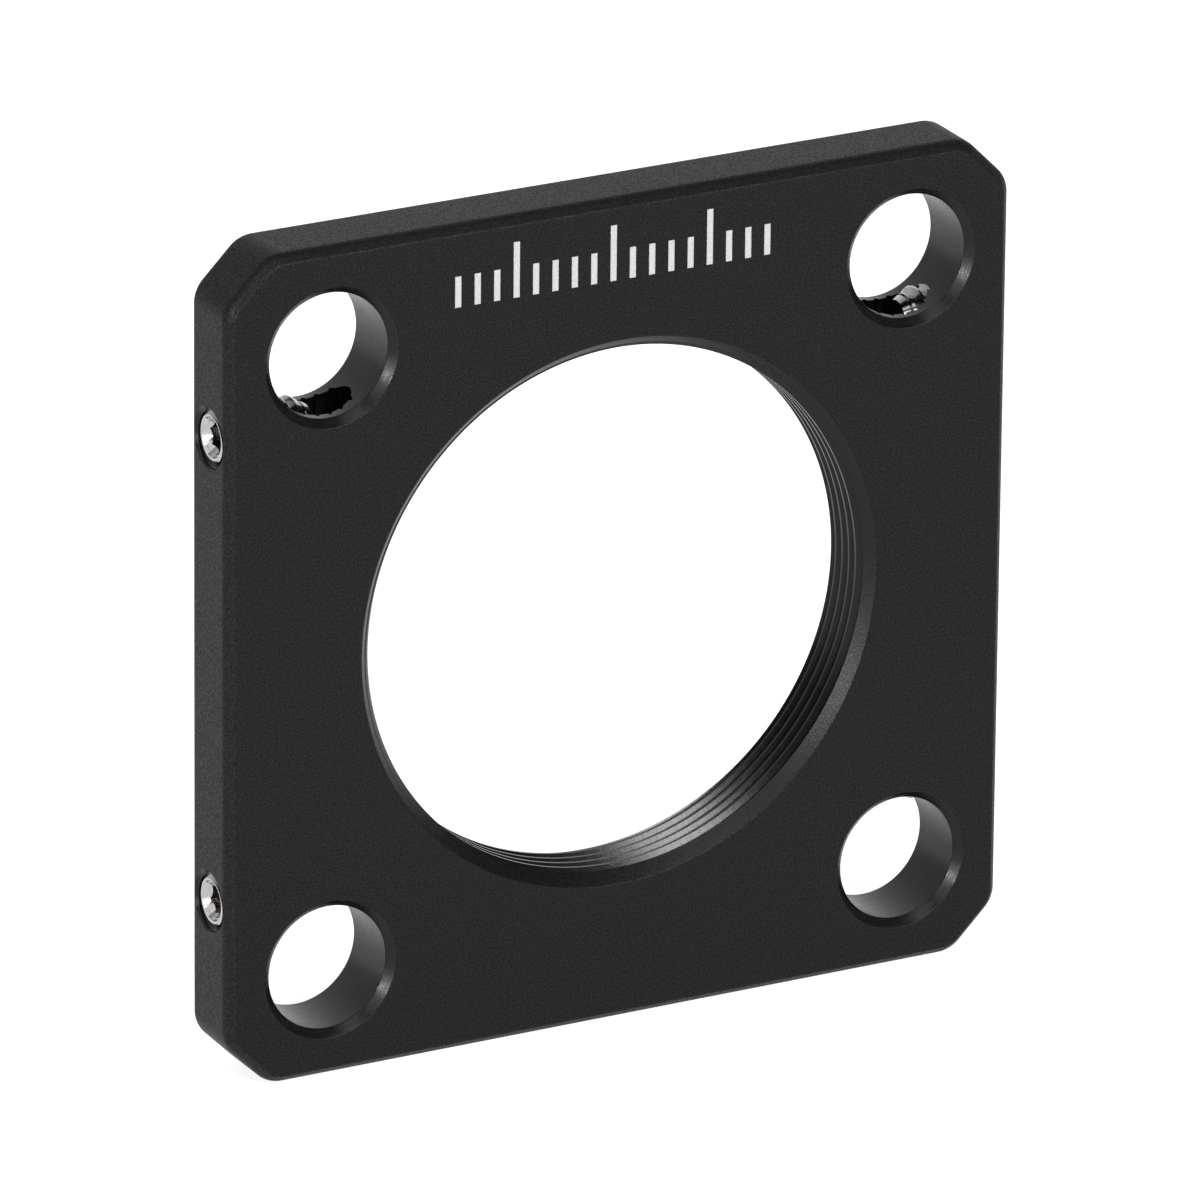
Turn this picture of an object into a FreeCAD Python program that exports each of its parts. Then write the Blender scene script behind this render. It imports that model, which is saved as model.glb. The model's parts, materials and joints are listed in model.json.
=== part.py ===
import FreeCAD, Part

import math
import os

# Optical cage plate: a thin square plate with a threaded centre bore, four rod bores on a square,
# and four set screws that come in from the sides and clamp the rods.
# Frame: the origin is on the optical axis, half way through the plate's thickness. +Y runs along the
# optical axis to the back face, +X to the right and +Z up, seen from the front.
# Threads are fine, so each threaded hole is drawn at the diameter that it is bored to before it is
# tapped, and each screw at its root, a running clearance smaller. All sizes are in millimetres.

# Plate
PLATE_SIDE = 40.6
PLATE_THICKNESS = 4.0
CORNER_CUT = 2.3
CORNER_BLEND_RADIUS = 1.6
EDGE_CHAMFER = 0.42

# Centre bore for a 1.035 inch thread with 40 turns to the inch
CENTRE_BORED_DIAMETER = 25.66
CENTRE_MOUTH_DIAMETER = 26.96

# Rod bores of the 30 mm cage
ROD_SPACING = 30.0
ROD_DIAMETER = 6.0
ROD_CLEARANCE = 0.015
ROD_BORE_CHAMFER = 0.4

# Tapped side holes, each one passing beside a rod's axis and breaking into its bore
SCREW_AXIS_FROM_ROD_AXIS = 3.65
TAP_DRILL_DIAMETER = 2.26
TAP_MOUTH_DIAMETER = 3.0
TAP_DEPTH_PAST_ROD_AXIS = 3.0
DRILL_POINT_ANGLE = 118.0

# Set screws
SCREW_LENGTH = 4.76
SCREW_CLEARANCE = 0.06
SCREW_END_CHAMFER = 0.2
SCREW_TIP_DIAMETER = 1.74
CUP_DIAMETER = 1.5
CUP_ANGLE = 118.0
SOCKET_ACROSS_FLATS = 1.27
SOCKET_DEPTH = 1.7

# How far the screws' outer ends lie below the side faces, and how far each one's socket is turned
SCREW_RECESS = 0.15
SCREWS = {
    "set_screw_upper_left": {"side": -1, "level": 1, "turn": 47.0},
    "set_screw_lower_left": {"side": -1, "level": -1, "turn": 17.0},
    "set_screw_upper_right": {"side": 1, "level": 1, "turn": 14.0},
    "set_screw_lower_right": {"side": 1, "level": -1, "turn": 40.0},
}

HALF_SIDE = PLATE_SIDE / 2
HALF_THICKNESS = PLATE_THICKNESS / 2
ROD_OFFSET = ROD_SPACING / 2
ROD_BORE_RADIUS = ROD_DIAMETER / 2 + ROD_CLEARANCE
CENTRE_RADIUS = CENTRE_BORED_DIAMETER / 2
SCREW_LEVEL = ROD_OFFSET - SCREW_AXIS_FROM_ROD_AXIS
TAP_RADIUS = TAP_DRILL_DIAMETER / 2
TAP_END = ROD_OFFSET - TAP_DEPTH_PAST_ROD_AXIS
SCREW_RADIUS = TAP_RADIUS - SCREW_CLEARANCE
CUT_SPARE = 1.0

X_AXIS = FreeCAD.Vector(1, 0, 0)
Y_AXIS = FreeCAD.Vector(0, 1, 0)
Z_AXIS = FreeCAD.Vector(0, 0, 1)
ORIGIN = FreeCAD.Vector(0, 0, 0)


def revolved(profile, axis):
    """A solid turned about an axis through the origin, from a closed profile in a plane of that axis."""
    wire = Part.makePolygon(profile + profile[:1])
    return Part.Face(wire).revolve(ORIGIN, axis, 360)


def point_depth(radius, angle):
    """The depth of a drilled point of this included angle and radius."""
    return radius / math.tan(math.radians(angle / 2))


def plate_blank():
    """The square plate with cut and blended corners and a chamfer round both faces."""
    near = HALF_SIDE - CORNER_CUT
    outline = []
    for quarter in range(4):
        turn = FreeCAD.Rotation(Y_AXIS, 90 * quarter)
        outline.append(turn.multVec(FreeCAD.Vector(near, -HALF_THICKNESS, HALF_SIDE)))
        outline.append(turn.multVec(FreeCAD.Vector(HALF_SIDE, -HALF_THICKNESS, near)))
    face = Part.Face(Part.makePolygon(outline + outline[:1]))
    blank = face.extrude(Y_AXIS * PLATE_THICKNESS)
    uprights = [e for e in blank.Edges if abs(e.tangentAt(e.FirstParameter).dot(Y_AXIS)) > 0.999]
    blank = blank.makeFillet(CORNER_BLEND_RADIUS, uprights)
    rims = [e for e in blank.Edges if abs(abs(e.CenterOfMass.y) - HALF_THICKNESS) < 1e-6]
    return blank.makeChamfer(EDGE_CHAMFER, rims)


def through_bore(radius, mouth_radius):
    """A cutter along the plate's thickness that opens at 45 degrees to the mouth at both faces."""
    flare = mouth_radius - radius
    end = HALF_THICKNESS + CUT_SPARE
    outer = [
        (mouth_radius + CUT_SPARE, end),
        (mouth_radius, HALF_THICKNESS),
        (radius, HALF_THICKNESS - flare),
    ]
    side = outer + [(r, -y) for r, y in reversed(outer)]
    profile = [(0, end)] + side + [(0, -end)]
    return revolved([FreeCAD.Vector(r, y, 0) for r, y in profile], Y_AXIS)


def tapped_hole():
    """A cutter for one side hole, along X through the origin's height, with its mouth on the right."""
    mouth_radius = TAP_MOUTH_DIAMETER / 2
    flare = mouth_radius - TAP_RADIUS
    profile = [
        (TAP_END - point_depth(TAP_RADIUS, DRILL_POINT_ANGLE), 0),
        (TAP_END, TAP_RADIUS),
        (HALF_SIDE - flare, TAP_RADIUS),
        (HALF_SIDE, mouth_radius),
        (HALF_SIDE + CUT_SPARE, mouth_radius + CUT_SPARE),
        (HALF_SIDE + CUT_SPARE, 0),
    ]
    return revolved([FreeCAD.Vector(x, r, 0) for x, r in profile], X_AXIS)


def on_side(shape, side, level):
    """A copy of a right-hand shape, moved to its side of the plate and to the upper or lower level."""
    placed = shape.copy()
    if side < 0:
        placed.rotate(ORIGIN, Z_AXIS, 180)
    placed.translate(Z_AXIS * level * SCREW_LEVEL)
    return placed


def plate():
    """The plate with its centre bore, rod bores and tapped side holes."""
    solid = plate_blank().cut(through_bore(CENTRE_RADIUS, CENTRE_MOUTH_DIAMETER / 2))
    rod_bore = through_bore(ROD_BORE_RADIUS, ROD_BORE_RADIUS + ROD_BORE_CHAMFER)
    side_hole = tapped_hole()
    for side in (-1, 1):
        for level in (-1, 1):
            bore = rod_bore.copy()
            bore.translate(FreeCAD.Vector(side * ROD_OFFSET, 0, level * ROD_OFFSET))
            solid = solid.cut(bore).cut(on_side(side_hole, side, level))
    return solid


def hex_socket(turn):
    """A cutter for the hexagon socket, from the screw's outer end at the origin along -X."""
    corner_radius = SOCKET_ACROSS_FLATS / math.sqrt(3)
    corners = []
    for corner in range(6):
        angle = math.radians(60 * corner + turn)
        y, z = corner_radius * math.cos(angle), corner_radius * math.sin(angle)
        corners.append(FreeCAD.Vector(0, y, z))
    hexagon = Part.Face(Part.makePolygon(corners + corners[:1]))
    prism = hexagon.extrude(X_AXIS * -SOCKET_DEPTH)
    drilled = SOCKET_ACROSS_FLATS / 2
    depth = point_depth(drilled, DRILL_POINT_ANGLE)
    cone = Part.makeCone(drilled, 0, depth, FreeCAD.Vector(-SOCKET_DEPTH, 0, 0), X_AXIS * -1)
    return prism.fuse(cone)


def set_screw(turn):
    """A headless screw with a cup point, from its outer end at the origin along -X."""
    tip_radius = SCREW_TIP_DIAMETER / 2
    cup_radius = CUP_DIAMETER / 2
    profile = [
        (0, 0),
        (0, SCREW_RADIUS - SCREW_END_CHAMFER),
        (-SCREW_END_CHAMFER, SCREW_RADIUS),
        (-SCREW_LENGTH + SCREW_RADIUS - tip_radius, SCREW_RADIUS),
        (-SCREW_LENGTH, tip_radius),
        (-SCREW_LENGTH, cup_radius),
        (-SCREW_LENGTH + point_depth(cup_radius, CUP_ANGLE), 0),
    ]
    body = revolved([FreeCAD.Vector(x, r, 0) for x, r in profile], X_AXIS)
    return body.cut(hex_socket(turn))


def placed_screw(side, level, turn):
    """One set screw in its hole, with its outer end a little below the side face."""
    screw = set_screw(turn)
    screw.translate(X_AXIS * (HALF_SIDE - SCREW_RECESS))
    return on_side(screw, side, level)


def write(name, shape):
    """Writes one piece to its own STEP file and says how large it is."""
    solids = shape.Solids
    if len(solids) != 1 or not shape.isValid():
        raise ValueError(f"{name} is not one valid solid")
    solids[0].exportStep(os.path.join("parts", name + ".step"))
    print(f"{name}: {solids[0].Volume:.2f} mm3")


os.makedirs("parts", exist_ok=True)
write("plate", plate())
for screw_name, place in SCREWS.items():
    write(screw_name, placed_screw(**place))
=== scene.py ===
import json
import math

import bmesh
import bpy
from mathutils import Matrix, Vector


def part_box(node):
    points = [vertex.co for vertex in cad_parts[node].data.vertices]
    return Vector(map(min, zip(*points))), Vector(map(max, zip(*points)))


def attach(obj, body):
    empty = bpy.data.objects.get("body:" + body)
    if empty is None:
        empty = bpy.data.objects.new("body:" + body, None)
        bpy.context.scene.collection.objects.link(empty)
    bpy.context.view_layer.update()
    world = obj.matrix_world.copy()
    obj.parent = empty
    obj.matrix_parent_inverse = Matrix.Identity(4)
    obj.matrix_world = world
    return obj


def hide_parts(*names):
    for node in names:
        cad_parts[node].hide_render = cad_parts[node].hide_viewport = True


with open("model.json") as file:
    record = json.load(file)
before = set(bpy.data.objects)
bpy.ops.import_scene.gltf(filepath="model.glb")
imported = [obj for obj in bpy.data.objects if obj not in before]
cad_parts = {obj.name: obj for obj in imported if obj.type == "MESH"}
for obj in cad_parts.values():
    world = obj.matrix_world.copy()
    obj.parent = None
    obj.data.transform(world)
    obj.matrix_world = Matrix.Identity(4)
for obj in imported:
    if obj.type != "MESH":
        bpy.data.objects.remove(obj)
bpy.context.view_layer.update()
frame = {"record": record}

# All sizes are in metres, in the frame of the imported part: the origin on the optical axis half way
# through the plate, +Y to the back face, +X to the right and +Z up, seen from the front.
MM = 0.001
MOUNTS = {mount["name"]: mount for mount in frame["record"]["mounts"]}

# Plate, with its overall size from the frame
PLATE_LOW, PLATE_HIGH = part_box("plate")
HALF_SIDE = PLATE_HIGH.x
HALF_THICKNESS = PLATE_HIGH.y
CORNER_CUT = 2.3 * MM
CORNER_CUT_DEGREES = 45
CORNER_BLEND_RADIUS = 1.6 * MM
EDGE_CHAMFER = 0.42 * MM
EDGE_ROUNDING = 0.6 * MM
FACE_ROUNDING = 0.2 * MM
BLEND_STEPS = 12

# Centre bore and its thread
CENTRE_RADIUS = MOUNTS["centre_thread"]["dims"]["r_mm"] * MM
CENTRE_MOUTH_RADIUS = 13.48 * MM
CENTRE_MOUTH_ROUNDING = 0.15 * MM
CENTRE_THREAD_RADIUS = 13.18 * MM
CENTRE_THREAD_TURN = math.radians(177)
CENTRE_COLUMNS = 288

# Rod bores
ROD_BORE_RADIUS = MOUNTS["rod_bores"]["dims"]["hole_r_mm"] * MM
ROD_OFFSET = MOUNTS["rod_bores"]["dims"]["spacing_x_mm"] * MM / 2
ROD_MOUTH_RADIUS = ROD_BORE_RADIUS + 0.4 * MM
ROD_MOUTH_ROUNDING = 0.12 * MM
INNER_ROUNDING = 0.05 * MM
ROUNDING_STEPS = 6
FLAT_MARGIN = 0.1 * MM
ROD_COLUMNS = 128

# Threads: all have 40 turns to the inch, with 60 degrees between their flanks
PITCH = 0.635 * MM
FLANK_SLOPE = math.tan(math.radians(30))
CREST_HALF_WIDTH = PITCH / 14
TAP_THREAD_DEPTH = 0.42 * MM

# A threaded rod reaches past what it cuts or forms: by the spare at both faces for the centre bore,
# and by the lead turns for a screw and at a side hole's mouth. A side hole's thread fades out about
# the untapped turns before its bottom.
CENTRE_TAP_SPARE = 2 * PITCH
LEAD_TURNS = 3
UNTAPPED_TURNS = 2

# Tapped side holes and their set screws
TAP_DRILL_RADIUS = 1.13 * MM
TAP_THREAD_RADIUS = 1.4225 * MM
TAP_MOUTH_RADIUS = 1.5 * MM
TAP_END = 12.0 * MM
TAP_COLUMNS = 72
DRILL_POINT_SLOPE = 1 / math.tan(math.radians(59))

# Beside a rod bore the thin crests of a side hole's thread are broken away, out to this radius and
# between these distances from the middle
BROKEN_CREST_RADIUS = 1.28 * MM
BROKEN_CREST_START = 17.33 * MM
BROKEN_CREST_END = 13.0 * MM

SCREW_THREAD_RADIUS = 1.395 * MM
SCREW_THREAD_DEPTH = 0.36 * MM
SCREW_ENVELOPE_RADIUS = SCREW_THREAD_RADIUS + 0.001 * MM
SCREW_END_RADIUS = 1.09 * MM
SCREW_END_CHAMFER = 0.20 * MM
SCREW_TIP_RADIUS = 0.87 * MM
SCREW_TIP_CHAMFER = 0.909 * MM
TIP_GROOVE_START = 0.40 * MM
TIP_GROOVE_WIDTH = 0.10 * MM
TIP_GROOVE_RADIUS = 0.97 * MM
CUP_RADIUS = 0.75 * MM
SOCKET_ACROSS_FLATS = 1.27 * MM
SOCKET_DEPTH = 1.7 * MM

# The countersink round a screw's socket, as (depth, radius), from the socket out to the end face
SOCKET_DISH = [
    (0.39 * MM, 0.625 * MM),
    (0.26 * MM, 0.755 * MM),
    (0.125 * MM, 0.855 * MM),
    (0.11 * MM, 0.895 * MM),
    (0, 0.975 * MM),
]

# Each screw's socket angle and the angle at which its thread starts, in degrees
SCREWS = {
    "upper_left": {"socket": 13, "thread": 300},
    "lower_left": {"socket": 43, "thread": 300},
    "upper_right": {"socket": 46, "thread": 75},
    "lower_right": {"socket": 20, "thread": 250},
}

# Plain white graduation on the front face
MARK_DEPTH = 0.02 * MM
SCALE_BASE = 16.4 * MM
SCALE_CENTRE = -0.6 * MM
SCALE_STEP = 1.0 * MM
SCALE_STEPS = 8
LONG_TICK_EVERY = 5
LONG_TICK = 2.7 * MM
SHORT_TICK = 1.5 * MM
TICK_WIDTH = 0.32 * MM

# Points that booleans leave closer together than this are merged, and slits of this many edges or
# fewer are closed
MERGE_DISTANCE = 0.0003 * MM
SLIT_EDGES = 6

# The drills and the screws' envelopes are set round by this angle, so that none of their edges lies
# along an edge of a thread
SEAM_TURN = Matrix.Rotation(math.radians(1.7), 4, "X")

# Edges where two faces meet at more than this angle are shaded sharp
PLATE_SHARP_DEGREES = 50
SCREW_SHARP_DEGREES = 28

# Black anodising's index of refraction, and how strongly its machined and turned faces reflect
ANODISING_IOR = 1.5
TURNED_SHINE = 0.22

# The plate's material indices after the first, which is the blasted finish
MACHINED, MARKING, CENTRE_MOUTH, ROD_TURNED, THREADED = range(1, 6)


def node_material(name):
    """An empty node material: its node tree's nodes, links, and its Principled shader."""
    material = bpy.data.materials.new(name)
    material.use_nodes = True
    tree = material.node_tree
    return material, tree.nodes, tree.links, tree.nodes["Principled BSDF"]


def noise(nodes, links, scale, detail=2.0, roughness=0.5, stretch=(1, 1, 1)):
    """A noise texture fixed to the object, with features of about one over the scale."""
    place = nodes.new("ShaderNodeTexCoord")
    mapping = nodes.new("ShaderNodeMapping")
    mapping.inputs["Scale"].default_value = stretch
    texture = nodes.new("ShaderNodeTexNoise")
    texture.inputs["Scale"].default_value = scale
    texture.inputs["Detail"].default_value = detail
    texture.inputs["Roughness"].default_value = roughness
    links.new(place.outputs["Object"], mapping.inputs["Vector"])
    links.new(mapping.outputs["Vector"], texture.inputs["Vector"])
    return texture.outputs["Fac"]


def ramp(nodes, links, source, low, high, start=0.3, end=0.7):
    """A colour ramp from low to high grey levels or colours."""
    node = nodes.new("ShaderNodeValToRGB")
    for element, position, value in zip(node.color_ramp.elements, (start, end), (low, high)):
        element.position = position
        element.color = (value, value, value, 1) if isinstance(value, float) else (*value, 1)
    links.new(source, node.inputs["Fac"])
    return node.outputs["Color"]


def bump(nodes, links, height, distance, strength=1.0):
    """A bump of this depth, from a texture's height."""
    node = nodes.new("ShaderNodeBump")
    node.inputs["Distance"].default_value = distance
    node.inputs["Strength"].default_value = strength
    links.new(height, node.inputs["Height"])
    return node.outputs["Normal"]


def math_node(nodes, links, operation, first, second=None):
    """The result of one sum, whose inputs are each a socket or a number."""
    node = nodes.new("ShaderNodeMath")
    node.operation = operation
    for socket, value in zip(node.inputs, (first, second)):
        if isinstance(value, float):
            socket.default_value = value
        elif value is not None:
            links.new(value, socket)
    return node.outputs[0]


def blasted_anodising():
    """Black anodised aluminium with the fine even grain of bead blasting."""
    material, nodes, links, shader = node_material("blasted_anodising")
    grain = noise(nodes, links, 11000)
    cloud = noise(nodes, links, 1600)
    colour = nodes.new("ShaderNodeMix")
    colour.data_type = "RGBA"
    colour.blend_type = "MULTIPLY"
    colour.inputs["Factor"].default_value = 1.0
    low, high = (0.0004, 0.0004, 0.0004), (0.0030, 0.0030, 0.0031)
    links.new(ramp(nodes, links, grain, low, high, 0.34, 0.66), colour.inputs["A"])
    links.new(ramp(nodes, links, cloud, 0.72, 1.0), colour.inputs["B"])
    links.new(colour.outputs["Result"], shader.inputs["Base Color"])
    links.new(ramp(nodes, links, grain, 0.62, 0.44), shader.inputs["Roughness"])
    links.new(ramp(nodes, links, grain, 0.14, 0.25, 0.34, 0.66), shader.inputs["Specular IOR Level"])
    links.new(bump(nodes, links, grain, 0.010 * MM), shader.inputs["Normal"])
    shader.inputs["IOR"].default_value = ANODISING_IOR
    return material


def around_axis(nodes, links, offset, stretch):
    """Coordinates (radius, y, angle) about axes along Y at this distance either side of the middle
    in X and Z, each stretched, so that a texture's marks run round or across a bore."""
    place = nodes.new("ShaderNodeTexCoord")
    split = nodes.new("ShaderNodeSeparateXYZ")
    links.new(place.outputs["Object"], split.inputs[0])

    def result(operation, *values):
        """One sum in this material."""
        return math_node(nodes, links, operation, *values)

    local = [split.outputs["X"], split.outputs["Z"]]
    if offset:
        local = [result("SUBTRACT", result("ABSOLUTE", value), offset) for value in local]
    squares = [result("MULTIPLY", value, value) for value in local]
    radius = result("SQRT", result("ADD", *squares))
    angle = result("ARCTAN2", local[1], local[0])
    joined = nodes.new("ShaderNodeCombineXYZ")
    for socket, value, factor in zip(joined.inputs, (radius, split.outputs["Y"], angle), stretch):
        links.new(result("MULTIPLY", value, factor), socket)
    return joined.outputs[0]


def turned_anodising(name, offset, stretch, tones, roughness, depth):
    """Black anodised aluminium where a tool cut it round an axis, with marks along its path."""
    material, nodes, links, shader = node_material(name)
    marks = nodes.new("ShaderNodeTexNoise")
    marks.inputs["Scale"].default_value = 1.0
    marks.inputs["Detail"].default_value = 3.0
    marks.inputs["Roughness"].default_value = 0.6
    links.new(around_axis(nodes, links, offset, stretch), marks.inputs["Vector"])
    source = marks.outputs["Fac"]
    low, high = [(tone, tone, 1.03 * tone) for tone in tones]
    links.new(ramp(nodes, links, source, low, high), shader.inputs["Base Color"])
    links.new(ramp(nodes, links, source, *roughness), shader.inputs["Roughness"])
    links.new(bump(nodes, links, source, depth), shader.inputs["Normal"])
    shader.inputs["IOR"].default_value = ANODISING_IOR
    shader.inputs["Specular IOR Level"].default_value = TURNED_SHINE
    return material


def machined_anodising():
    """Black anodised aluminium in the drilled and tapped side holes."""
    material, nodes, links, shader = node_material("machined_anodising")
    marks = noise(nodes, links, 2500, detail=3.0, stretch=(1, 6, 1))
    grain = noise(nodes, links, 14000)
    low, high = (0.0025, 0.0025, 0.0026), (0.0050, 0.0050, 0.0052)
    links.new(ramp(nodes, links, marks, low, high), shader.inputs["Base Color"])
    links.new(ramp(nodes, links, marks, 0.22, 0.34), shader.inputs["Roughness"])
    links.new(bump(nodes, links, grain, 0.004 * MM, 0.4), shader.inputs["Normal"])
    shader.inputs["IOR"].default_value = ANODISING_IOR
    shader.inputs["Specular IOR Level"].default_value = TURNED_SHINE
    return material


def white_marking():
    """The slightly uneven white of a laser mark in black anodising."""
    material, nodes, links, shader = node_material("white_marking")
    grain = noise(nodes, links, 9000, detail=3.0)
    low, high = (0.37, 0.37, 0.366), (0.45, 0.45, 0.444)
    links.new(ramp(nodes, links, grain, low, high), shader.inputs["Base Color"])
    links.new(ramp(nodes, links, grain, 0.65, 0.85), shader.inputs["Roughness"])
    links.new(bump(nodes, links, grain, 0.006 * MM, 0.5), shader.inputs["Normal"])
    return material


def screw_steel():
    """Bright turned stainless steel with fine marks round the screw."""
    material, nodes, links, shader = node_material("screw_steel")
    marks = noise(nodes, links, 2200, detail=4.0, roughness=0.6, stretch=(7, 1, 1))
    low, high = (0.35, 0.34, 0.335), (0.47, 0.46, 0.445)
    links.new(ramp(nodes, links, marks, low, high), shader.inputs["Base Color"])
    links.new(ramp(nodes, links, marks, 0.10, 0.17), shader.inputs["Roughness"])
    links.new(bump(nodes, links, marks, 0.002 * MM, 0.5), shader.inputs["Normal"])
    shader.inputs["Metallic"].default_value = 1.0
    return material


# Each turned finish's marks along (radius, y, angle), then its tones, its roughness and its depth
MOUTH_FINISH = ((9000.0, 9000.0, 240.0), (0.001, 0.006), (0.24, 0.40), 0.012 * MM)
ROD_FINISH = ((14000.0, 14000.0, 4.0), (0.002, 0.006), (0.20, 0.34), 0.008 * MM)
THREAD_FINISH = ((800.0, 800.0, 260.0), (0.002, 0.005), (0.18, 0.26), 0.004 * MM)

PLATE_MATERIALS = [
    blasted_anodising(),
    machined_anodising(),
    white_marking(),
    turned_anodising("centre_mouth", 0.0, *MOUTH_FINISH),
    turned_anodising("rod_bores", ROD_OFFSET, *ROD_FINISH),
    turned_anodising("centre_thread", 0.0, *THREAD_FINISH),
]
STEEL = screw_steel()


def new_object(name, shape, materials, index=0):
    """An object from a bmesh, with outward normals and one material index on all faces if given."""
    bmesh.ops.recalc_face_normals(shape, faces=shape.faces)
    mesh = bpy.data.meshes.new(name)
    if index:
        for face in shape.faces:
            face.material_index = index
    shape.to_mesh(mesh)
    shape.free()
    piece = bpy.data.objects.new(name, mesh)
    bpy.context.scene.collection.objects.link(piece)
    for material in materials:
        mesh.materials.append(material)
    return piece


def combine(piece, cutter, operation="DIFFERENCE"):
    """Cuts a piece by another, or keeps what they share, and removes the cutter. Points that the
    boolean leaves almost on each other are merged, and the slits between them are closed."""
    modifier = piece.modifiers.new("combine", "BOOLEAN")
    modifier.operation = operation
    modifier.solver = "EXACT"
    modifier.object = cutter
    depsgraph = bpy.context.evaluated_depsgraph_get()
    mesh = bpy.data.meshes.new_from_object(piece.evaluated_get(depsgraph))
    piece.modifiers.clear()
    shape = bmesh.new()
    shape.from_mesh(mesh)
    bmesh.ops.remove_doubles(shape, verts=shape.verts, dist=MERGE_DISTANCE)
    bmesh.ops.dissolve_degenerate(shape, edges=shape.edges, dist=MERGE_DISTANCE)
    slits = [edge for edge in shape.edges if edge.is_boundary]
    bmesh.ops.holes_fill(shape, edges=slits, sides=SLIT_EDGES)
    shape.to_mesh(mesh)
    shape.free()
    piece.data = mesh
    bpy.data.objects.remove(cutter)


def finish_surface(piece, sharp_degrees):
    """Smooth shading up to the edges that are sharp by angle or where a thread meets another finish."""
    shape = bmesh.new()
    shape.from_mesh(piece.data)
    for face in shape.faces:
        face.smooth = True
    for edge in shape.edges:
        finishes = {face.material_index for face in edge.link_faces}
        same = len(finishes) == 1 or not finishes & {MACHINED, THREADED}
        edge.smooth = same and edge.calc_face_angle(math.pi) < math.radians(sharp_degrees)
    shape.to_mesh(piece.data)
    shape.free()
    weighted = piece.modifiers.new("weighted", "WEIGHTED_NORMAL")
    weighted.keep_sharp = True


def rounded(profile, radii):
    """An open profile of points in a plane, with each inner corner rounded to its own radius."""
    points = [Vector(profile[0])]
    for before, corner, after, radius in zip(profile, profile[1:], profile[2:], radii):
        corner = Vector(corner)
        back = (Vector(before) - corner).normalized()
        ahead = (Vector(after) - corner).normalized()
        half = back.angle(ahead) / 2
        centre = corner + (back + ahead).normalized() * radius / math.sin(half)
        start = corner + back * radius / math.tan(half) - centre
        sweep = math.pi - 2 * half
        if back.x * ahead.y - back.y * ahead.x > 0:
            sweep = -sweep
        for step in range(ROUNDING_STEPS + 1):
            turn = sweep * step / ROUNDING_STEPS
            x = start.x * math.cos(turn) - start.y * math.sin(turn)
            y = start.x * math.sin(turn) + start.y * math.cos(turn)
            points.append(centre + Vector((x, y)))
    points.append(Vector(profile[-1]))
    return points


def join_loops(shape, loops, finishes=()):
    """Quads between each loop of vertices and the next. Each finish covers an odd number of strips in
    the middle, the widest first."""
    middle = (len(loops) - 2) // 2
    for strip, (first, second) in enumerate(zip(loops, loops[1:])):
        covers = [finish for finish, strips in finishes if abs(strip - middle) <= strips // 2]
        for k, vertex in enumerate(first):
            after = (k + 1) % len(first)
            face = shape.faces.new((vertex, first[after], second[after], second[k]))
            face.material_index = covers[-1] if covers else 0


def outline(inset):
    """The plate's outline in XZ, drawn inwards by the inset: straight sides, corner cuts, blends."""
    blend_reach = CORNER_BLEND_RADIUS * math.tan(math.radians(CORNER_CUT_DEGREES / 2))
    straight = HALF_SIDE - CORNER_CUT - blend_reach
    outer = HALF_SIDE - CORNER_BLEND_RADIUS
    points = []
    for quarter in range(4):
        turn = Matrix.Rotation(math.radians(90 * quarter), 2)
        blends = ((Vector((outer, straight)), 0), (Vector((straight, outer)), CORNER_CUT_DEGREES))
        for centre, first in blends:
            for step in range(BLEND_STEPS + 1):
                angle = math.radians(first + CORNER_CUT_DEGREES * step / BLEND_STEPS)
                arm = Vector((math.cos(angle), math.sin(angle)))
                points.append(turn @ (centre + arm * (CORNER_BLEND_RADIUS - inset)))
    return points


def circle(centre, radius, columns):
    """Points round a circle in XZ."""
    angles = [math.tau * k / columns for k in range(columns)]
    return [centre + Vector((math.cos(a), math.sin(a))) * radius for a in angles]


def wall_profile(start, reach, face_rounding, inner_rounding):
    """A wall's section from face to face, as (distance, y): a chamfer of this reach at both faces,
    its corners rounded, and a short stretch of the flat faces at each end."""
    mouth = start + reach
    flat = mouth + face_rounding / 2 + FLAT_MARGIN
    half = HALF_THICKNESS
    corners = [(flat, -half), (mouth, -half), (start, -half + reach)]
    corners += [(start, half - reach), (mouth, half), (flat, half)]
    return rounded(corners, (face_rounding, inner_rounding, inner_rounding, face_rounding))


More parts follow.
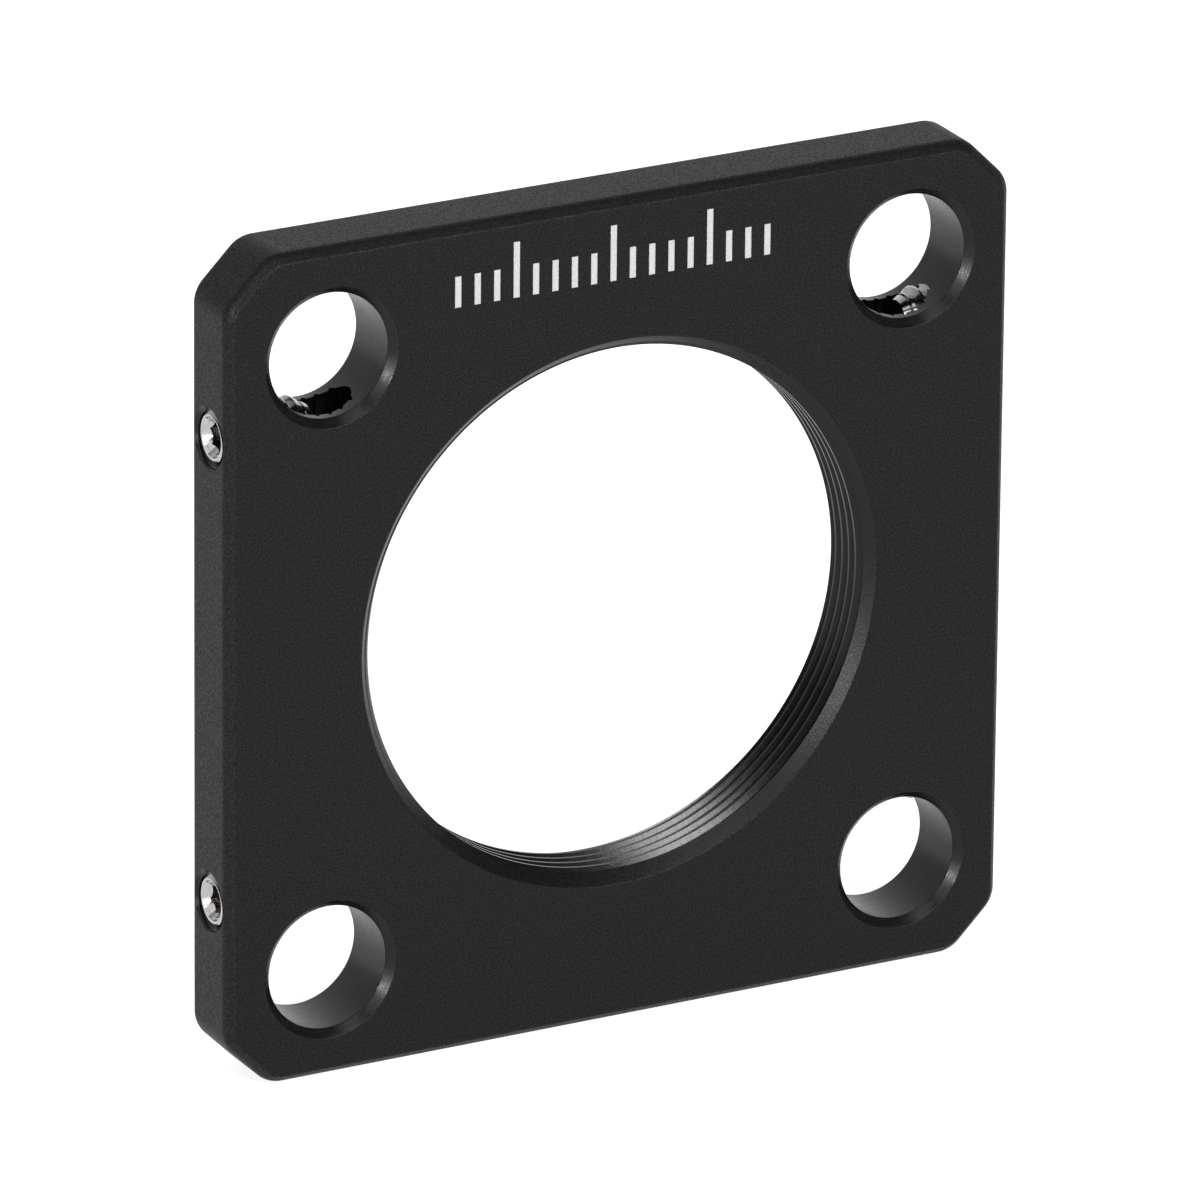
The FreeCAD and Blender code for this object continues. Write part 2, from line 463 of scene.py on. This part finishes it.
def plate_blank():
    """The plate before its threads and side holes are cut."""
    shape = bmesh.new()
    rims = {-1: [], 1: []}

    def wall(points_at, profile, finishes=()):
        """One wall from face to face, round a closed line that depends on the profile's distance."""
        loops = []
        for distance, y in profile:
            loops.append([shape.verts.new((p.x, y, p.y)) for p in points_at(distance)])
        join_loops(shape, loops, finishes)
        for side, loop in ((-1, loops[0]), (1, loops[-1])):
            for k, vertex in enumerate(loop):
                rims[side].append(shape.edges.get((vertex, loop[(k + 1) % len(loop)])))

    wall(outline, wall_profile(0, EDGE_CHAMFER, FACE_ROUNDING, EDGE_ROUNDING))
    middle = Vector((0, 0))
    flare = CENTRE_MOUTH_RADIUS - CENTRE_RADIUS
    centre = wall_profile(CENTRE_RADIUS, flare, CENTRE_MOUTH_ROUNDING, INNER_ROUNDING)
    # A bore's wall, its two chamfers and the roundings between them
    bore_strips = 3 + 2 * ROUNDING_STEPS
    centre_finishes = [(CENTRE_MOUTH, bore_strips), (THREADED, 1)]
    wall(lambda r: circle(middle, r, CENTRE_COLUMNS), centre, centre_finishes)
    flare = ROD_MOUTH_RADIUS - ROD_BORE_RADIUS
    rod = wall_profile(ROD_BORE_RADIUS, flare, ROD_MOUTH_ROUNDING, INNER_ROUNDING)
    for x in (-ROD_OFFSET, ROD_OFFSET):
        for z in (-ROD_OFFSET, ROD_OFFSET):
            axis = Vector((x, z))
            wall(lambda r: circle(axis, r, ROD_COLUMNS), rod, [(ROD_TURNED, bore_strips)])
    for side, edges in rims.items():
        bmesh.ops.triangle_fill(shape, use_beauty=True, edges=edges, normal=(0, side, 0))
    return new_object("cage_plate", shape, PLATE_MATERIALS)


def threaded_rod(crest, depth, start, end, columns):
    """A rod along +X with a right-hand thread, which fades out over the first and last turns."""
    top = CREST_HALF_WIDTH
    foot = top + depth * FLANK_SLOPE
    turn_rows = [(-top, 0), (top, 0), (foot, depth), (PITCH - foot, depth)]
    turns = math.ceil((end - start) / PITCH)
    rows = []
    for turn in range(turns):
        for offset, drop in turn_rows:
            faded = turn < 1 or turn >= turns - 1
            rows.append((start + turn * PITCH + offset, crest - (depth if faded else drop)))
    shape = bmesh.new()
    grid = []
    for x, radius in rows:
        ring = []
        for k in range(columns):
            angle = math.tau * k / columns
            along = x + PITCH * k / columns
            ring.append(shape.verts.new((along, radius * math.cos(angle), radius * math.sin(angle))))
        grid.append(ring)
    per_turn = len(turn_rows)
    last = columns - 1
    for low, high in zip(grid, grid[1:]):
        for k in range(last):
            shape.faces.new((low[k], low[k + 1], high[k + 1], high[k]))
    for row in range(len(grid) - 1 - per_turn):
        ahead = row + per_turn
        shape.faces.new((grid[row][last], grid[ahead][0], grid[ahead + 1][0], grid[row + 1][last]))
    front = grid[0] + [grid[row][0] for row in range(per_turn, 0, -1)]
    back = grid[-1] + [grid[-1 - row][last] for row in range(1, per_turn + 1)]
    cap(shape, front, start)
    cap(shape, back, end + PITCH)
    return shape


def cap(shape, loop, x):
    """Closes a loop of vertices with triangles to a point on the rod's axis."""
    centre = shape.verts.new((x, 0, 0))
    for first, second in zip(loop, loop[1:] + loop[:1]):
        shape.faces.new((first, second, centre))


def turned(profile, columns):
    """A closed solid turned about X from (x, radius) points that begin and end on the axis."""
    shape = bmesh.new()
    angles = [math.tau * k / columns for k in range(columns)]
    loops = []
    for x, radius in profile[1:-1]:
        loops.append([shape.verts.new((x, radius * math.cos(a), radius * math.sin(a))) for a in angles])
    join_loops(shape, loops)
    for (x, _), loop in ((profile[0], loops[0]), (profile[-1], loops[-1])):
        cap(shape, loop, x)
    return shape


def screw_seat(name):
    """The screw's outer end as a matrix: local +X runs into the plate along the screw's axis."""
    low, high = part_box("set_screw_" + name)
    level = (low.z + high.z) / 2
    if high.x < 0:
        return Matrix.Translation((low.x, 0, level))
    return Matrix.Translation((high.x, 0, level)) @ Matrix.Rotation(math.pi, 4, "Z")


def screw_turn(name, part):
    """How far a screw's socket or thread is turned about its axis, as a matrix."""
    return Matrix.Rotation(math.radians(SCREWS[name][part]), 4, "X")


def placed(shape, matrix):
    """Moves a shape that was made at the origin."""
    bmesh.ops.transform(shape, matrix=matrix, verts=shape.verts)
    return shape


def cut_centre_thread(piece):
    """Cuts the thread of the centre bore."""
    reach = HALF_THICKNESS + CENTRE_TAP_SPARE
    tap = threaded_rod(CENTRE_THREAD_RADIUS, TAP_THREAD_DEPTH, -reach, reach, CENTRE_COLUMNS)
    along_y = Matrix.Rotation(math.radians(90), 4, "Z") @ Matrix.Rotation(CENTRE_THREAD_TURN, 4, "X")
    combine(piece, new_object("centre_tap", placed(tap, along_y), PLATE_MATERIALS, THREADED))


def cut_side_hole(piece, name):
    """Drills, countersinks and taps one side hole. Depths are measured from the screw's outer end."""
    seat = screw_seat(name)
    outer_end = abs(seat.translation.x)
    face = outer_end - HALF_SIDE
    bottom = outer_end - TAP_END
    broken_start = outer_end - BROKEN_CREST_START
    broken_end = outer_end - BROKEN_CREST_END
    flare = TAP_MOUTH_RADIUS - TAP_DRILL_RADIUS
    spare = 0.3 * MM
    drill = [
        (face - spare, 0),
        (face - spare, TAP_MOUTH_RADIUS + spare),
        (face + flare, TAP_DRILL_RADIUS),
        (broken_start, TAP_DRILL_RADIUS),
        (broken_start, BROKEN_CREST_RADIUS),
        (broken_end, BROKEN_CREST_RADIUS),
        (broken_end, TAP_DRILL_RADIUS),
        (bottom, TAP_DRILL_RADIUS),
        (bottom + TAP_DRILL_RADIUS * DRILL_POINT_SLOPE, 0),
    ]
    shape = placed(turned(drill, TAP_COLUMNS), seat @ SEAM_TURN)
    combine(piece, new_object("side_drill", shape, PLATE_MATERIALS, MACHINED))
    start = -LEAD_TURNS * PITCH
    end = (math.ceil((bottom - face) / PITCH) - UNTAPPED_TURNS) * PITCH
    tap = threaded_rod(TAP_THREAD_RADIUS, TAP_THREAD_DEPTH, start, end, TAP_COLUMNS)
    shape = placed(tap, seat @ screw_turn(name, "thread"))
    combine(piece, new_object("side_tap", shape, PLATE_MATERIALS, MACHINED))


def cut_graduation(piece):
    """Engraves a plain scale with a white ground."""
    shape = bmesh.new()
    for step in range(-SCALE_STEPS, SCALE_STEPS + 1):
        height = LONG_TICK if step % LONG_TICK_EVERY == 0 else SHORT_TICK
        middle = (SCALE_CENTRE + step * SCALE_STEP, -HALF_THICKNESS, SCALE_BASE + height / 2)
        size = Matrix.Diagonal((TICK_WIDTH, 2 * MARK_DEPTH, height, 1))
        bmesh.ops.create_cube(shape, size=1.0, matrix=Matrix.Translation(middle) @ size)
    combine(piece, new_object("graduation", shape, PLATE_MATERIALS, MARKING))


def cage_plate():
    """The dressed plate, in place of its plain solid."""
    piece = plate_blank()
    cut_centre_thread(piece)
    for name in SCREWS:
        cut_side_hole(piece, name)
    cut_graduation(piece)
    finish_surface(piece, PLATE_SHARP_DEGREES)
    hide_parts("plate")
    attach(piece, "plate")


def screw_envelope(length):
    """A screw's turned form without its thread, which it bounds: countersink, end, tip and cup."""
    slope = (SCREW_ENVELOPE_RADIUS - SCREW_TIP_RADIUS) / SCREW_TIP_CHAMFER
    groove_start, groove_end = TIP_GROOVE_START, TIP_GROOVE_START - TIP_GROOVE_WIDTH
    profile = [(SOCKET_DISH[0][0], 0)] + SOCKET_DISH + [
        (0, SCREW_END_RADIUS),
        (SCREW_END_CHAMFER, SCREW_ENVELOPE_RADIUS),
        (length - SCREW_TIP_CHAMFER, SCREW_ENVELOPE_RADIUS),
        (length - groove_start, SCREW_TIP_RADIUS + slope * groove_start),
        (length - groove_start, TIP_GROOVE_RADIUS),
        (length - groove_end, TIP_GROOVE_RADIUS),
        (length - groove_end, SCREW_TIP_RADIUS + slope * groove_end),
        (length, SCREW_TIP_RADIUS),
        (length, CUP_RADIUS),
        (length - CUP_RADIUS * DRILL_POINT_SLOPE, 0),
    ]
    return placed(turned(profile, TAP_COLUMNS), SEAM_TURN)


def hex_socket():
    """A cutter for a screw's hexagon socket, with its drilled point."""
    corner = SOCKET_ACROSS_FLATS / math.sqrt(3)
    point = SOCKET_ACROSS_FLATS / 2 * DRILL_POINT_SLOPE
    spare = 0.2 * MM
    profile = [(-spare, 0), (-spare, corner), (SOCKET_DEPTH, corner), (SOCKET_DEPTH + point, 0)]
    return turned(profile, 6)


def set_screw(name):
    """One threaded set screw with its socket and cup point, in place of its plain solid."""
    low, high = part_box("set_screw_" + name)
    length = high.x - low.x
    start = -LEAD_TURNS * PITCH
    end = (math.ceil(length / PITCH) + LEAD_TURNS) * PITCH
    rod = threaded_rod(SCREW_THREAD_RADIUS, SCREW_THREAD_DEPTH, start, end, TAP_COLUMNS)
    shape = placed(rod, screw_turn(name, "thread"))
    piece = new_object("set_screw_" + name + "_detailed", shape, [STEEL])
    combine(piece, new_object("envelope", screw_envelope(length), [STEEL]), "INTERSECT")
    shape = placed(hex_socket(), screw_turn(name, "socket"))
    combine(piece, new_object("socket", shape, [STEEL]))
    piece.data.transform(screw_seat(name))
    finish_surface(piece, SCREW_SHARP_DEGREES)
    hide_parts("set_screw_" + name)
    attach(piece, "screw_" + name)


cage_plate()
for screw_name in SCREWS:
    set_screw(screw_name)


# Camera, from a fit to the outlines in the photograph
CAMERA_PLACE = Vector((-301.909, -564.692, 246.209)) * MM
CAMERA_AIM = Vector((-1.140, -2.0, 0.863)) * MM
CAMERA_ROLL = math.radians(0.5477)
CAMERA_LENS = 444.966
CAMERA_SENSOR = 36.0


def make_camera():
    """The camera at the photograph's angle."""
    data = bpy.data.cameras.new("camera")
    data.lens = CAMERA_LENS
    data.sensor_width = CAMERA_SENSOR
    data.clip_start = 0.05
    data.clip_end = 20.0
    camera = bpy.data.objects.new("camera", data)
    bpy.context.scene.collection.objects.link(camera)
    look = (CAMERA_AIM - CAMERA_PLACE).to_track_quat("-Z", "Y").to_matrix().to_4x4()
    roll = Matrix.Rotation(CAMERA_ROLL, 4, "Z")
    camera.matrix_world = Matrix.Translation(CAMERA_PLACE) @ look @ roll
    bpy.context.scene.camera = camera


FLOOR_LEVEL = PLATE_LOW.z
FLOOR_SIZE = 6.0


def shown_background(nodes, links):
    """1 for rays that show the background: from the camera, in a reflection or through glass."""
    path = nodes.new("ShaderNodeLightPath")
    total = path.outputs["Is Camera Ray"]
    for name in ("Is Glossy Ray", "Is Transmission Ray"):
        total = math_node(nodes, links, "MAXIMUM", total, path.outputs[name])
    return total


def make_floor():
    """A plain pale floor that shows nearly white and keeps the part's shadow."""
    shape = bmesh.new()
    bmesh.ops.create_grid(shape, x_segments=1, y_segments=1, size=FLOOR_SIZE / 2)
    material, nodes, links, shader = node_material("pale_floor")
    nodes.remove(shader)
    diffuse = nodes.new("ShaderNodeBsdfDiffuse")
    diffuse.inputs["Color"].default_value = (0.45, 0.45, 0.45, 1)
    glow = nodes.new("ShaderNodeEmission")
    glow.inputs["Strength"].default_value = 0.78
    both = nodes.new("ShaderNodeAddShader")
    links.new(diffuse.outputs[0], both.inputs[0])
    links.new(glow.outputs[0], both.inputs[1])
    plain = nodes.new("ShaderNodeBsdfDiffuse")
    plain.inputs["Color"].default_value = (0.8, 0.8, 0.8, 1)
    mix = nodes.new("ShaderNodeMixShader")
    links.new(shown_background(nodes, links), mix.inputs["Fac"])
    links.new(plain.outputs[0], mix.inputs[1])
    links.new(both.outputs[0], mix.inputs[2])
    links.new(mix.outputs[0], nodes["Material Output"].inputs["Surface"])
    floor = new_object("floor", shape, [material])
    floor.location.z = FLOOR_LEVEL


def graded(nodes, links, source, start, end, low, high):
    """A level that runs from low to high while the source runs from start to end."""
    node = nodes.new("ShaderNodeMapRange")
    for name, value in zip(("From Min", "From Max", "To Min", "To Max"), (start, end, low, high)):
        node.inputs[name].default_value = value
    links.new(source, node.inputs["Value"])
    return node.outputs[0]


def make_world():
    """A plain surround, brighter behind the part than in front of it and to its right than left."""
    world = bpy.data.worlds.new("studio")
    world.use_nodes = True
    bpy.context.scene.world = world
    nodes, links = world.node_tree.nodes, world.node_tree.links
    place = nodes.new("ShaderNodeTexCoord")
    split = nodes.new("ShaderNodeSeparateXYZ")
    links.new(place.outputs["Generated"], split.inputs[0])
    behind = graded(nodes, links, split.outputs["Y"], 0.0, 0.85, 0.15, 1.25)
    right = graded(nodes, links, split.outputs["X"], -0.4, 0.4, 0.6, 1.0)
    light = nodes["Background"]
    light.inputs["Color"].default_value = (1, 1, 1, 1)
    links.new(math_node(nodes, links, "MULTIPLY", behind, right), light.inputs["Strength"])


def add_softbox(name, direction, distance, width, height, radiance):
    """A softbox that faces the part, given by what it looks like from there."""
    data = bpy.data.lights.new(name, "AREA")
    data.shape = "RECTANGLE"
    data.size = width
    data.size_y = height
    data.energy = radiance * math.pi * width * height
    lamp = bpy.data.objects.new(name, data)
    bpy.context.scene.collection.objects.link(lamp)
    toward = Vector(direction).normalized()
    facing = toward.to_track_quat("Z", "Y").to_matrix().to_4x4()
    lamp.matrix_world = Matrix.Translation(toward * distance) @ facing


# Each softbox's direction from the part, its distance, width and height in metres, and its radiance
SOFTBOXES = {
    "side_softbox": ((-0.797, -0.553, 0.244), 0.9, 0.10, 0.10, 105.0),
    "front_softbox": ((0.13, -0.83, 0.54), 0.9, 0.30, 0.22, 32.0),
    "overhead_softbox": ((-0.10, -0.51, 0.86), 1.0, 0.50, 0.35, 2.5),
    "upper_left_softbox": ((-0.62, -0.57, 0.54), 1.0, 0.50, 0.35, 2.4),
    "lower_left_softbox": ((-0.88, -0.47, 0.06), 1.0, 0.50, 0.12, 7.5),
    "crown_softbox": ((-0.70, -0.02, 0.71), 1.0, 0.80, 0.80, 1.15),
    "edge_softbox": ((0.44, -0.836, 0.33), 1.2, 0.20, 0.12, 12.0),
}

make_camera()
make_floor()
make_world()
for softbox_name, softbox in SOFTBOXES.items():
    add_softbox(softbox_name, *softbox)

bpy.context.scene.view_settings.view_transform = "Standard"
